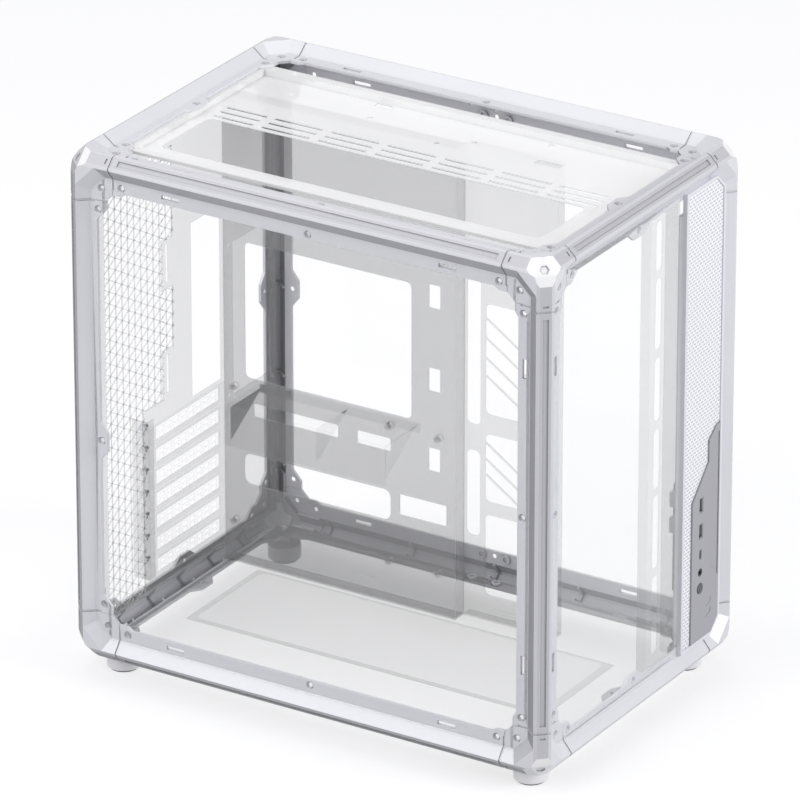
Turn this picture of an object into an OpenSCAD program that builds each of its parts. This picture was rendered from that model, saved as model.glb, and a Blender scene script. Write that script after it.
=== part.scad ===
// Computer case with an outside skeleton of cast corners and channel rails.
// Rear is at minus X, front at plus X, near side at minus Y, floor at Z zero.

/* [Case] */
// outside length of the frame, rear to front, in mm
case_l = 460; // [420:10:560]
// outside width of the frame, side to side, in mm
case_w = 312; // [304:2:340]
// height of the frame without its feet, in mm
frame_h = 458; // [450:2:520]

/* [Rail section] */
// distance of the outer ridge from the outside corner, in mm
ridge_in = 10.8; // [10:0.2:12]
// width of the bevel that slopes down to the flange, in mm
bevel_run = 10; // [8:0.5:12]
// depth of the flange below the outer plane, in mm
flange_deep = 8; // [6:0.5:9]
// reach of a wide flange from the outside corner, in mm
flange_wide = 32; // [30:0.5:34]
// reach of a slim flange from the outside corner, in mm
flange_slim = 26.5; // [24:0.5:28]
// wall thickness of rails and castings, in mm
wall = 2.6; // [2:0.1:3]
// near edge of the sloped front facet, in mm
facet_lo = 1; // [0.6:0.1:1.4]
// far edge of the sloped front facet, in mm
facet_hi = 8.2; // [7.6:0.1:8.8]
// width of the long groove in the facet, in mm
groove_w = 5; // [3:0.5:6]
// depth of the long groove, in mm
groove_deep = 1; // [0.5:0.1:1.5]
// gap between the end of a groove and the casting, in mm
groove_gap = 7; // [4:1:12]

/* [Corner castings] */
// length of a casting along each edge, in mm
corner_len = 42; // [40:1:46]
// width of the joint seam between casting and rail, in mm
seam = 0.4; // [0.3:0.1:0.8]
// cap plane of the casting, sum of the three distances, in mm
cap_sum = 25.4; // [24:0.2:28]
// length of the tongue that reaches into a rail, in mm
tongue_len = 12; // [6:1:16]
// play between tongue and rail, in mm
tongue_play = 0.35; // [0.3:0.05:0.5]
// thickness of the tongue, in mm
tongue_t = 2.4; // [1.6:0.2:3]
// distance of the gusset screw hole from both edges, in mm
gusset_hole_in = 31; // [30:0.5:32]
// width across the flats of the recess in the cap, in mm
cap_recess_w = 7; // [5:0.5:8]

/* [Holes and tabs] */
// diameter of the frame screw holes, in mm
screw_d = 4.2; // [3.4:0.1:5]
// diameter of the countersink around a frame screw hole, in mm
sink_d = 7.2; // [6:0.2:8]
// distance of the rail screw holes from the outside edge, in mm
hole_in = 27.4; // [26.5:0.1:28]
// distance of the end screw holes from the outside corner, in mm
end_hole = 50.4; // [48:0.2:54]
// reach of the end tabs from the outside edge, in mm
tab_reach = 35; // [34:0.5:36]
// distance of the flange slots from the outside corner, in mm
flange_slot_at = 98; // [90:1:110]
// diameter of the bosses that locate a panel on a wide flange, in mm
boss_d = 8; // [7:0.5:9]
// distance of those bosses from the middle of the rail, in mm
boss_at = 12; // [11:1:16]
// length of a flange slot, in mm
flange_slot_l = 17; // [12:1:20]
// height of a flange slot, in mm
flange_slot_h = 3.6; // [2.5:0.1:4]

/* [Feet] */
// height of the frame above the floor, in mm
foot_h = 15.5; // [12:0.5:20]
// diameter of a foot, in mm
foot_d = 29; // [24:1:30]
// thickness of the pad under a foot, in mm
pad_t = 1.5; // [1:0.1:2.5]
// diameter of the pad under a foot, in mm
pad_d = 24; // [18:1:26]

/* [Panels] */
// thickness of the clear glass, in mm
glass_t = 4; // [3:0.5:5]
// play between glass and frame, in mm
glass_play = 0.5; // [0.4:0.1:1]
// thickness of the sheet metal, in mm
sheet = 1; // [0.8:0.1:1.2]

/* [Top bracket] */
// near edge of the bracket, in mm from the near side
top_y0 = 48; // [42:1:56]
// depth of the pressed pan in the bracket, in mm
pan_deep = 6; // [4:0.5:8]
// width of the rim around the pan, in mm
rim_w = 8; // [6:1:12]
// length of the large opening, in mm
top_open_l = 364; // [300:2:366]
// width of the large opening, in mm
top_open_w = 76; // [60:1:78]
// length of a vent slot, in mm
vent_slot_l = 47; // [40:1:50]
// width of a vent slot, in mm
vent_slot_w = 4; // [2.5:0.1:5]
// spacing of the vent slot rows, in mm
vent_row = 10.4; // [9:0.1:11]

/* [Tray] */
// distance of the tray face from the far side, in mm
tray_in = 107; // [105:0.5:109]
// front edge of the tray, in mm from the rear
tray_x1 = 250; // [246:1:254]
// depth of the folded front edge of the tray, in mm
tray_fold = 14; // [8:1:18]
// length of the cooler opening, in mm
cooler_l = 165; // [140:1:170]
// height of the cooler opening, in mm
cooler_h = 124; // [100:1:130]
// height of a board standoff, in mm
standoff_h = 6.5; // [5:0.1:8]
// bore of a board standoff, in mm
standoff_bore = 3; // [2.6:0.1:3.2]
// diameter of the pressed neck of a standoff, in mm
standoff_neck = 4.6; // [4.2:0.1:5]

/* [Rear] */
// spacing of the expansion slots, in mm
slot_pitch = 20.32; // [20.32:0.01:20.32]
// number of expansion slots
slot_count = 7; // [5:1:7]
// height of the lowest expansion slot, in mm from the frame bottom
slot_z0 = 47.1; // [46:0.1:48]
// depth of the pressed rear panel below its rim, in mm
rear_deep = 8.4; // [7:0.2:9]
// distance of the slot ledge from the tray face, in mm
ledge_in = 115.5; // [114:0.5:117]
// depth of the slot ledge, in mm
ledge_deep = 16; // [12:0.5:17]
// width of an expansion slot cover, in mm
cover_w = 18.4; // [17:0.1:19.2]
// width of the board connector opening, in mm
io_w = 44.4; // [44:0.1:45]
// height of the board connector opening, in mm
io_h = 158.7; // [158:0.1:159]
// width of the power supply opening, in mm
psu_w = 52; // [44:1:54]
// height of the power supply opening, in mm
psu_h = 140; // [120:1:144]

/* [Front module] */
// near edge of the front vent box, in mm from the far side
vent_in = 85; // [83:1:88]
// depth of the front vent box, in mm
vent_deep = 8; // [7:0.5:12]
// diameter of the power button, in mm
button_d = 9; // [7:0.5:10]
// travel of the power button, in mm
button_travel = 1.2; // [0.8:0.1:1.5]

/* [Hidden] */
$fn = 48;
tray_y = case_w - tray_in;
ledge_y = tray_y - ledge_in;
vent_y0 = case_w - vent_in;
rail_t0 = corner_len + seam;
mid_x = case_l / 2;
mid_y = case_w / 2;
mid_z = frame_h / 2;
flange_in = flange_deep + wall;
top_y1 = case_w - top_y0;
top_z = frame_h - flange_in;
floor_z = flange_in;
rear_x = flange_in;
cham_s = 28;
cham_run = 10.9;
glass_inset = ridge_in + bevel_run + glass_play;
glass_cut = sqrt(2) * (cham_s + cham_run) + 1.4 * glass_play;
pan_z = top_z - pan_deep - sheet;
rear_in = rear_x + sheet + rear_deep;
io_y1 = tray_y - 4.1;
io_z0 = 181.4;
slot_z9 = slot_z0 + slot_pitch * (slot_count - 1);
fold_y = tray_y + tray_fold;
plate_x = case_l - 5.8;
port_y = case_w - 55.2;
plate_y = case_w - 42.2;
button_z = 71.8;
port_z = [148, 124.5];
bar_z = [44.9, 54.7];
vent_y1 = case_w - glass_inset;
vent_z0 = corner_len + tab_reach - glass_inset - 14.6;
front_x = case_l - flange_in;
net_y = tray_y - 77;
bracket_w = case_l - tray_x1 - 151;
psu_y = tray_y + 41;
psu_z = 230;
stand_x = [31.7, 186.6, 234.9];
stand_z = [52.5, 177, 334.5];

// helpers for the rail section

function unit(v) = v / norm(v);
nb = unit([bevel_run, -flange_deep]);
n2 = unit([ridge_in - facet_hi, facet_lo]);
n4 = unit([1, 1]);
function db(w) = nb * [0, ridge_in] + w;
function d2(w) = n2 * [0, ridge_in] + w;
function d4(w) = n4 * [facet_lo, facet_hi] + w;
function det(n, m) = n[0] * m[1] - n[1] * m[0];
function meet(n, a, m, b) = [(a * m[1] - b * n[1]) / det(n, m), (b * n[0] - a * m[0]) / det(n, m)];
function swap(v) = [v[1], v[0]];
function flip(l) = [for (i = [len(l) - 1 : -1 : 0]) l[i]];
function swapped(l) = [for (v = l) swap(v)];

// contour of one half of the section at depth w below the outer faces
function half(w, f) = [[flange_deep + w, f], meet([1, 0], flange_deep + w, nb, db(w)),
  meet(nb, db(w), n2, d2(w)), meet(n2, d2(w), n4, d4(w))];
function arm(w) = [meet([1, 0], flange_deep + w, nb, db(w)),
  meet(nb, db(w), n2, d2(w)), meet(n2, d2(w), n4, d4(w))];
// the same contour deeper inside, where the narrow facet has run out
function deep_arm(w) = [meet([1, 0], flange_deep + w, nb, db(w)), meet(nb, db(w), n4, d4(w))];
function ring(a, b) = concat(a, flip(swapped(a)), swapped(b), flip(b));
function section(w, fp, fq) = concat(half(w, fp), flip(swapped(half(w, fq))),
  swapped(half(wall, fq)), flip(half(wall, fp)));
function bevel_q(w, p) = (nb[0] * p - db(w)) / -nb[1];
function cham_sum(w, p) = sqrt(2) * (cham_s + p * cham_run / flange_deep
  - w * norm([cham_run, flange_deep]) / flange_deep);

module in_case() {
  translate([-case_l / 2, -case_w / 2, foot_h]) children();
}

// puts a part that is drawn at the origin corner to one of the eight corners
module at_corner(sx, sy, sz) {
  in_case()
    translate([sx * case_l, sy * case_w, sz * frame_h])
      mirror([sx, 0, 0]) mirror([0, sy, 0]) mirror([0, 0, sz]) children();
}

// rails are drawn along Z, then turned to their edge
module along_x(sy, sz) {
  at_corner(0, sy, sz) rotate([90, 0, 90]) children();
}
module along_y(sx, sz) {
  at_corner(sx, 0, sz) rotate([-90, -90, 0]) children();
}
module along_z(sx, sy) {
  at_corner(sx, sy, 0) children();
}

// screw hole with countersink through the flange of the first face
module flange_hole(t, q) {
  translate([flange_deep, q, t]) rotate([0, 90, 0]) cylinder(d = screw_d, h = 8, center = true, $fn = 20);
  translate([flange_deep - 0.01, q, t]) rotate([0, 90, 0])
    cylinder(d1 = sink_d, d2 = screw_d, h = (sink_d - screw_d) / 2, $fn = 20);
}

// flat plate in the flange of the first face, drawn in t and q
module flange_plate(pts) {
  translate([flange_deep, 0, 0]) rotate([90, 0, 90])
    linear_extrude(wall) polygon(pts);
}

// one end tab and the mirrored one at the other end
module end_tab(f) {
  flange_plate([[f - 2, rail_t0], [tab_reach, rail_t0], [tab_reach, end_hole - 0.5],
    [f, end_hole + (tab_reach - f) * 0.8 + 2], [f - 2, end_hole + (tab_reach - f) * 0.8 + 2]]);
}
module mid_tab(f, at) {
  flange_plate([[f - 2, at - 20], [f, at - 17], [f + 7, at - 8], [f + 7, at + 8],
    [f, at + 17], [f - 2, at + 20]]);
}

// everything on the flange of one face: tabs added
module face_tabs(len, f, at) {
  end_tab(f);
  translate([0, 0, len]) mirror([0, 0, 1]) end_tab(f);
  if (f < flange_wide - 1) mid_tab(f, at);
  if (f > flange_wide - 1) for (d = [-boss_at, boss_at]) translate([flange_in - 0.1, hole_in, at + d])
    rotate([0, 90, 0]) difference() {
      cylinder(d = boss_d, h = 2.1, $fn = 20);
      translate([0, 0, 1]) cylinder(d = 4.6, h = 2, $fn = 16);
    }
}
// everything on the flange of one face: holes cut
module face_holes(len, f, at) {
  flange_hole(end_hole, hole_in);
  flange_hole(len - end_hole, hole_in);
  flange_hole(at, hole_in);
  if (f > flange_wide - 1) for (t = [flange_slot_at, len - flange_slot_at])
    translate([flange_deep + wall / 2, 26, t]) cube([8, flange_slot_h, flange_slot_l], center = true);
}

// stiffening rib that follows the inside of the channel
module rib(t) {
  translate([0, 0, t - 0.8]) linear_extrude(1.6) polygon(ring(arm(wall - 0.1), deep_arm(wall + 2.4)));
}

// a full rail of overall length len, mid holes at ap and aq
module rail(len, fp, fq, ap, aq) {
  difference() {
    union() {
      translate([0, 0, rail_t0 + 1.6]) linear_extrude(len - 2 * rail_t0 - 3.2) polygon(section(0, fp, fq));
      translate([0, 0, rail_t0]) linear_extrude(len - 2 * rail_t0) polygon(section(0.8, fp, fq));
      face_tabs(len, fp, ap);
      mirror([1, -1, 0]) face_tabs(len, fq, aq);
      for (i = [1 : 5]) rib(rail_t0 + tongue_len + 8 + (len - 2 * (rail_t0 + tongue_len + 8)) * (i - 1) / 4);
    }
    face_holes(len, fp, ap);
    mirror([1, -1, 0]) face_holes(len, fq, aq);
    translate([(facet_lo + facet_hi) / 2, (facet_lo + facet_hi) / 2, len / 2]) rotate([0, 0, 45])
      cube([2 * groove_deep, groove_w, len - 2 * (rail_t0 + groove_gap)], center = true);
  }
}

// removes everything on the outer side of a sloped plane
module cut_plane(n, d) {
  u = n / norm(n);
  rotate([0, acos(u[2]), atan2(u[1], u[0])]) translate([-60, -60, d - 80]) cube([120, 120, 80]);
}

// pocket for a panel in one face of the casting, at depth w below its walls
module panel_pocket(w) {
  far = corner_len + 8;
  y0 = -6;
  y1 = flange_deep + w;
  a0 = bevel_q(w, y0);
  a1 = bevel_q(w, y1);
  s0 = cham_sum(w, y0);
  s1 = cham_sum(w, y1);
  polyhedron(
    points = [[a0, y0, s0 - a0], [a0, y0, far], [far, y0, far], [far, y0, a0], [s0 - a0, y0, a0],
      [a1, y1, s1 - a1], [a1, y1, far], [far, y1, far], [far, y1, a1], [s1 - a1, y1, a1]],
    faces = [[0, 1, 2, 3, 4], [9, 8, 7, 6, 5], [0, 5, 6, 1], [1, 6, 7, 2], [2, 7, 8, 3], [3, 8, 9, 4], [4, 9, 5, 0]]);
}

// outer form of the casting at depth w below its faces
module casting_form(w, far) {
  q = meet([1, 0], w, n2, d2(w));
  c = meet(n2, d2(w), n4, d4(w));
  form = [q, c, swap(c), swap(q), [far, w], [far, far], [w, far]];
  difference() {
    intersection() {
      linear_extrude(far) polygon(form);
      rotate([90, 0, 90]) linear_extrude(far) polygon(form);
      rotate([-90, -90, 0]) linear_extrude(far) polygon(form);
    }
    cut_plane([1, 1, 1], cap_sum / sqrt(3) + w);
    for (v = [[1, 1, 0.415], [1, 0.415, 1], [0.415, 1, 1]]) cut_plane(v, 17.9 / norm([1, 1, 0.415]) + w);
    panel_pocket(w);
    rotate([90, 0, 90]) panel_pocket(w);
    rotate([-90, -90, 0]) panel_pocket(w);
  }
}

// tongue that reaches along Z into the next rail
module tongue() {
  translate([0, 0, corner_len - 10]) linear_extrude(9)
    polygon(ring(arm(wall - 0.2), deep_arm(wall + tongue_t)));
  translate([0, 0, corner_len - 2]) linear_extrude(2 + tongue_len)
    polygon(ring(arm(wall + tongue_play), deep_arm(wall + tongue_t)));
}

module gusset_cut() {
  g = corner_len + tab_reach;
  rotate([90, 0, 0]) translate([0, 0, -flange_in - 1]) linear_extrude(flange_in + 1)
    polygon([[corner_len + 1, g - corner_len - 1], [corner_len + 1, corner_len + 1], [g - corner_len - 1, corner_len + 1]]);
}
module gusset_hole() {
  translate([0, gusset_hole_in, gusset_hole_in]) rotate([0, 90, 0]) cylinder(d = screw_d, h = 20, $fn = 20);
  translate([flange_deep - 0.01, gusset_hole_in, gusset_hole_in]) rotate([0, 90, 0])
    cylinder(d1 = sink_d, d2 = screw_d, h = (sink_d - screw_d) / 2, $fn = 20);
}
module pip() {
  m = (facet_lo + facet_hi) / 2;
  translate([m, m, corner_len - 3.6]) rotate([0, 0, 45]) cube([1.6, 4.6, 1.6], center = true);
}

// one cast corner, drawn at the origin
module casting() {
  difference() {
    union() {
      difference() {
        casting_form(0, corner_len);
        casting_form(wall, corner_len + 6);
      }
      tongue();
      rotate([90, 0, 90]) tongue();
      rotate([-90, -90, 0]) tongue();
    }
    gusset_cut();
    rotate([90, 0, 90]) gusset_cut();
    rotate([-90, -90, 0]) gusset_cut();
    gusset_hole();
    rotate([90, 0, 90]) gusset_hole();
    rotate([-90, -90, 0]) gusset_hole();
    pip();
    rotate([90, 0, 90]) pip();
    rotate([-90, -90, 0]) pip();
    rotate([0, acos(1 / sqrt(3)), 45]) translate([0, 0, cap_sum / sqrt(3) - 2])
      rotate([0, 0, 30]) cylinder(d = cap_recess_w / cos(30), h = 3, $fn = 6);
  }
}

// block given by its two corners
module box(a, b) {
  translate(a) cube(b - a);
}
// opening with round corners, centred on Z zero, size l by w
module round_hole(l, w, r, h) {
  translate([r, 0, -h / 2]) cube([l - 2 * r, w, h]);
  translate([0, r, -h / 2]) cube([l, w - 2 * r, h]);
  for (x = [r, l - r]) for (y = [r, w - r]) translate([x, y, 0]) cylinder(r = r, h = h, center = true, $fn = 16);
}
// the same opening through the sheet of the tray
module side_hole(x0, z0, l, w, r) {
  translate([x0, tray_y + sheet / 2, z0]) rotate([90, 0, 0]) round_hole(l, w, r, 6);
}

// bore along X
module bore_x(x, y, z, d, h) {
  translate([x, y, z]) rotate([0, 90, 0]) cylinder(d = d, h = h, center = true, $fn = 28);
}
// bar along X with a section that is round at both ends
module pill_x(x0, x1, y, z, l, d) {
  s = (l - d) / 2;
  box([x0, y - d / 2, z - s], [x1, y + d / 2, z + s]);
  for (v = [-s, s]) bore_x((x0 + x1) / 2, y, z + v, d, x1 - x0);
}

module metal() {
  color([0.80, 0.80, 0.84]) children();
}
module steel() {
  color([0.93, 0.93, 0.94]) children();
}
module clear() {
  color([0.85, 0.92, 0.95, 0.25]) children();
}
module dark() {
  color([0.30, 0.31, 0.33]) children();
}

module corner_rear_near_bottom() { metal() at_corner(0, 0, 0) casting(); }
module corner_rear_near_top() { metal() at_corner(0, 0, 1) casting(); }
module corner_rear_far_bottom() { metal() at_corner(0, 1, 0) casting(); }
module corner_rear_far_top() { metal() at_corner(0, 1, 1) casting(); }
module corner_front_near_bottom() { metal() at_corner(1, 0, 0) casting(); }
module corner_front_near_top() { metal() at_corner(1, 0, 1) casting(); }
module corner_front_far_bottom() { metal() at_corner(1, 1, 0) casting(); }
module corner_front_far_top() { metal() at_corner(1, 1, 1) casting(); }

module rail_long() {
  rail(case_l, flange_wide, flange_wide, mid_x, mid_x);
}
module rail_short() {
  rail(case_w, flange_slim, flange_slim, mid_y, mid_y);
}
module rail_near_bottom() { metal() along_x(0, 0) rail_long(); }
module rail_near_top() { metal() along_x(0, 1) rail_long(); }
module rail_far_bottom() { metal() along_x(1, 0) rail_long(); }
module rail_far_top() { metal() along_x(1, 1) rail_long(); }
module rail_rear_bottom() { metal() along_y(0, 0) rail_short(); }
module rail_rear_top() { metal() along_y(0, 1) rail_short(); }
module rail_front_bottom() { metal() along_y(1, 0) rail_short(); }
module rail_front_top() { metal() along_y(1, 1) rail_short(); }
module upright_rear_near() {
  metal() along_z(0, 0) rail(frame_h, flange_slim, flange_slim, mid_z, mid_z - 29);
}
module upright_rear_far() {
  metal() along_z(0, 1) rail(frame_h, flange_slim, flange_slim, mid_z, mid_z);
}
module upright_front_near() {
  metal() along_z(1, 0) rail(frame_h, flange_wide, flange_wide, mid_z, mid_z);
}
module upright_front_far() {
  metal() along_z(1, 1) rail(frame_h, flange_slim, flange_wide, mid_z, mid_z);
}

// turned metal feet that screw up into the gussets of the bottom castings
module at_feet() {
  for (sx = [0, 1]) for (sy = [0, 1]) at_corner(sx, sy, 0)
    translate([gusset_hole_in, gusset_hole_in, 0]) children();
}
module feet() {
  r = foot_d / 2;
  z0 = pad_t - foot_h;
  color([0.78, 0.78, 0.82]) at_feet() rotate_extrude($fn = 40)
    polygon([[0, z0], [r - 1, z0], [r, z0 + 1], [r, -1], [r - 0.7, -0.3], [4.2, -0.3],
      [4.2, flange_deep], [1.75, flange_deep], [1.75, flange_in + 4], [0, flange_in + 4]]);
}
module foot_pads() {
  dark() at_feet() translate([0, 0, -foot_h]) cylinder(d = pad_d, h = pad_t, $fn = 36);
}

// outline of a clear panel with cut corners, square on one side if cut is false
module pane(l, h, cut) {
  a = glass_inset;
  c = glass_cut - a;
  polygon(concat([[a, c], [c, a]],
    cut ? [[l - c, a], [l - a, c], [l - a, h - c], [l - c, h - a]] : [[l, a], [l, h - a]],
    [[c, h - a], [a, h - c]]));
}
module near_glass() {
  clear() in_case() translate([0, flange_deep, 0]) rotate([90, 0, 0])
    linear_extrude(glass_t) pane(case_l, frame_h, true);
}
module far_glass() {
  clear() in_case() translate([0, case_w - flange_deep + glass_t, 0]) rotate([90, 0, 0])
    linear_extrude(glass_t) pane(case_l, frame_h, true);
}
module front_glass() {
  clear() in_case() translate([case_l - flange_deep, 0, 0]) rotate([90, 0, 90])
    linear_extrude(glass_t) pane(vent_y0 - 1, frame_h, false);
}

// pressed bracket under the top of the frame
module top_bracket() {
  x0 = 22;
  x1 = case_l - 22;
  open_y0 = 76.5;
  vent_x = case_l - 96.3;
  steel() in_case() difference() {
    union() {
      box([x0, top_y0, top_z - sheet], [x1, top_y1, top_z]);
      box([x0 + rim_w, top_y0 + rim_w, pan_z], [x1 - rim_w, top_y1 - rim_w, top_z - sheet / 2]);
    }
    box([x0 + rim_w + sheet, top_y0 + rim_w + sheet, pan_z + sheet],
      [x1 - rim_w - sheet, top_y1 - rim_w - sheet, top_z + 1]);
    translate([42, open_y0, pan_z]) round_hole(top_open_l, top_open_w, 8, 6);
    for (k = [0 : 6]) for (r = [0 : 2]) {
      x = vent_x - 54.8 * k;
      y = open_y0 + top_open_w + 4 + vent_row * r;
      box([max(42, x), y, pan_z - 1], [x + vent_slot_l, y + vent_slot_w, pan_z + 3]);
    }
    translate([143.6, case_w - 65.5, pan_z]) round_hole(16, 7, 1.5, 6);
    translate([case_l - 140, case_w - 101.5, pan_z]) round_hole(24, 8, 1.5, 6);
    for (v = [[155.7, 90.2], [231, 107.2], [257.5, 90.7], [314, 62]])
      translate([v[0], case_w - v[1], pan_z]) cylinder(d = 5, h = 6, center = true, $fn = 16);
    for (x = [x0 + 4, x1 - 4]) for (y = [top_y0 + 12, mid_y, top_y1 - 12])
      translate([x, y, top_z]) cylinder(d = 3.4, h = 6, center = true, $fn = 16);
  }
}

// flat floor with one long vent and bracket slots
module bottom_panel() {
  steel() in_case() difference() {
    box([22, 22, floor_z], [case_l - 22, case_w - 22, floor_z + sheet]);
    translate([60, 94, floor_z]) round_hole(case_l - 120, tray_y - 99, 8, 6);
    for (v = [[144, 86], [281, 86], [125, tray_y + 32], [265, tray_y + 32]])
      translate([v[0], v[1], floor_z]) round_hole(26, 3, 1.4, 6);
    for (x = [gusset_hole_in, case_l - gusset_hole_in]) for (y = [gusset_hole_in, case_w - gusset_hole_in])
      translate([x, y, floor_z]) cylinder(d = screw_d, h = 6, center = true, $fn = 20);
    for (x = [hole_in, case_l - hole_in]) translate([x, mid_y, floor_z]) cylinder(d = screw_d, h = 6, center = true, $fn = 20);
    for (y = [hole_in, case_w - hole_in]) translate([mid_x, y, floor_z]) {
      cylinder(d = screw_d, h = 6, center = true, $fn = 20);
      for (d = [-boss_at, boss_at]) translate([d, 0, 0]) cylinder(d = boss_d + 0.6, h = 6, center = true, $fn = 24);
    }
  }
}
module dust_filter() {
  color([0.86, 0.86, 0.88]) in_case()
    box([54, 91, floor_z - 0.8], [case_l - 54, tray_y - 2, floor_z]);
}

// pressed rear wall: rim against the frame, floor sunk towards the inside
module rear_panel() {
  y0 = 22;
  y1 = case_w - 22;
  z0 = 22;
  z1 = frame_h - 22;
  m = 3;
  steel() in_case() difference() {
    union() {
      box([rear_x, y0, z0], [rear_x + sheet, y1, z1]);
      box([rear_x + sheet / 2, y0 + m, z0 + m], [rear_in, y1 - m, z1 - m]);
    }
    box([rear_x - 1, y0 + m + sheet, z0 + m + sheet], [rear_in - sheet, y1 - m - sheet, z1 - m - sheet]);
    // window of the lattice vent in two steps, with two slotted ears
    difference() {
      union() {
        box([rear_in - 3, 27.5, 196], [rear_in + 1, net_y, frame_h - 38]);
        box([rear_in - 3, 27.5, 30], [rear_in + 1, net_y - 46, 197]);
      }
      box([rear_in - 4, net_y - 16, 294], [rear_in + 2, net_y + 1, 340]);
      box([rear_in - 4, net_y - 16, 190], [rear_in + 2, net_y + 1, 240]);
    }
    for (z = [300, 200]) box([rear_in - 3, net_y - 10, z], [rear_in + 1, net_y - 6.5, z + 34]);
    // board connector opening
    box([rear_in - 3, io_y1 - io_w, io_z0], [rear_in + 1, io_y1, io_z0 + io_h]);
    // one window for each expansion slot, and the slit for their tabs
    for (k = [0 : slot_count - 1]) box([rear_in - 3, ledge_y + 10.5, slot_z0 + slot_pitch * k - 6.2],
      [rear_in + 1, tray_y - 8, slot_z0 + slot_pitch * k + 6.2]);
    box([rear_in - 3, ledge_y - sheet - 0.4, slot_z0 - 10], [rear_in + 1, ledge_y + 0.3, slot_z9 + 10]);
    // power supply opening with its four screw holes
    box([rear_in - 3, psu_y - psu_w / 2, psu_z - psu_h / 2], [rear_in + 1, psu_y + psu_w / 2, psu_z + psu_h / 2]);
    for (y = [-32, 32]) for (z = [-69, 69]) bore_x(rear_in, psu_y + y, psu_z + z, 4, 6);
  }
}
// lattice sheet behind the window, plain here and pierced in the finish
module rear_vent_mesh() {
  steel() in_case() difference() {
    union() {
      box([rear_in, 25.5, 194], [rear_in + 0.8, net_y + 2, frame_h - 34]);
      box([rear_in, 25.5, 28], [rear_in + 0.8, net_y - 44, 195]);
    }
    for (z = [300, 200]) box([rear_in - 3, net_y - 10, z], [rear_in + 2, net_y - 6.5, z + 34]);
  }
}
// angle that takes the screws of the slot covers
module slot_ledge() {
  z0 = slot_z0 - 10;
  x1 = rear_in - sheet;
  steel() in_case() difference() {
    union() {
      box([x1 - ledge_deep, ledge_y, z0], [x1, ledge_y + sheet, slot_z9 + 14]);
      box([x1 - sheet, ledge_y, z0], [x1, ledge_y + 9, slot_z9 + 14]);
    }
    for (k = [0 : slot_count - 1]) translate([rear_in - 4.5, ledge_y, slot_z0 + slot_pitch * k + 9.4])
      rotate([90, 0, 0]) cylinder(d = 3.9, h = 6, center = true, $fn = 20);
  }
}
module slot_cover(k) {
  z = slot_z0 + slot_pitch * (k - 1);
  steel() in_case() difference() {
    union() {
      box([rear_in, ledge_y - sheet, z - cover_w / 2], [rear_in + sheet, tray_y - 1.5, z + cover_w / 2]);
      box([rear_in - 10, ledge_y - sheet, z - cover_w / 2], [rear_in + sheet, ledge_y, z + cover_w / 2]);
    }
    translate([rear_in - 4.5, ledge_y, z + 9.4]) rotate([90, 0, 0]) cylinder(d = 4.4, h = 6, center = true, $fn = 20);
    for (r = [-2.8, 2.8]) for (i = [0 : 7])
      translate([rear_in - 1, ledge_y + 14.5 + 11.4 * i, z + r - 1.8]) cube([3, 6.4, 3.6]);
  }
}
module slot_cover_1() { slot_cover(1); }
module slot_cover_2() { slot_cover(2); }
module slot_cover_3() { slot_cover(3); }
module slot_cover_4() { slot_cover(4); }
module slot_cover_5() { slot_cover(5); }
module slot_cover_6() { slot_cover(6); }
module slot_cover_7() { slot_cover(7); }
module slot_screws() {
  color([0.72, 0.72, 0.75]) in_case() for (k = [0 : slot_count - 1])
    translate([rear_in - 4.5, ledge_y - sheet, slot_z0 + slot_pitch * k + 9.4]) rotate([90, 0, 0]) {
      cylinder(d = 6.6, h = 2.2, $fn = 20);
      translate([0, 0, -5]) cylinder(d = 3.2, h = 5.1, $fn = 16);
    }
}

// sheet that carries the main board, folded at its front edge
module board_tray() {
  steel() in_case() difference() {
    union() {
      box([rear_in, tray_y, floor_z + sheet], [tray_x1, tray_y + sheet, pan_z]);
      box([tray_x1 - sheet, tray_y, floor_z + sheet], [tray_x1, fold_y, pan_z]);
      box([rear_in, tray_y, floor_z + sheet], [tray_x1, fold_y, floor_z + 2 * sheet]);
      box([rear_in, tray_y, pan_z - sheet], [tray_x1, fold_y, pan_z]);
    }
    side_hole(41.5, 186.5, cooler_l, cooler_h, 5);
    for (z = [292.5, 217, 144]) side_hole(223.6, z, 11, 21, 1.2);
    side_hole(50, 152, 84, 12, 2);
    side_hole(153, 152, 33, 12, 2);
    side_hole(40, 88, 146, 28, 7);
    side_hole(195, 96, 46, 19, 1);
    for (x = stand_x) for (z = stand_z) translate([x, tray_y, z])
      rotate([90, 0, 0]) cylinder(d = standoff_neck + 0.4, h = 6, center = true, $fn = 24);
  }
}
// standoffs pressed into the tray, bored right through
module standoffs() {
  color([0.80, 0.80, 0.83]) in_case() for (x = stand_x) for (z = stand_z)
    translate([x, tray_y, z]) rotate([90, 0, 0]) difference() {
      union() {
        cylinder(d = 6.6, h = standoff_h, $fn = 6);
        translate([0, 0, -sheet]) cylinder(d = standoff_neck, h = sheet + 0.1, $fn = 24);
      }
      translate([0, 0, -sheet - 1]) cylinder(d = standoff_bore, h = standoff_h + sheet + 2, $fn = 24);
    }
}
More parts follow.
